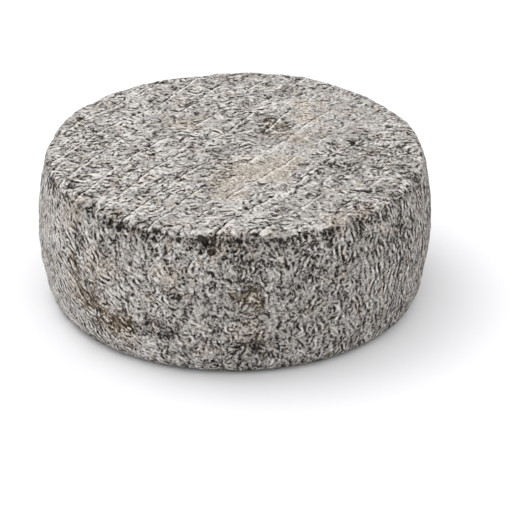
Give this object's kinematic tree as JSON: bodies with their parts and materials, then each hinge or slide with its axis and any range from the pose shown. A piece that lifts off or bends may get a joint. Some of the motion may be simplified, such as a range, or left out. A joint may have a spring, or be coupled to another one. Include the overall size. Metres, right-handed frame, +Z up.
{
  "type": "tomme cheese wheel",
  "caption": "Whole round wheel of aged cheese under a dry grey moulded rind, with a softly bulging wall, worn rims and a flat underside to stand on.",
  "frame": {"origin": "middle of the flat underside, on the surface the wheel stands on", "axes": "+Z up through the wheel from the underside to the upper face, X and Y across the wheel"},
  "size_m": [0.1904, 0.1904, 0.0755],
  "materials": {
    "grey_rind": "dry matte rind, pale grey mould rubbed flat over darker brown-grey pits, with a few tan and olive stains"
  },
  "bodies": {
    "root": {"cheese_wheel": "grey_rind"}
  },
  "joints": []
}
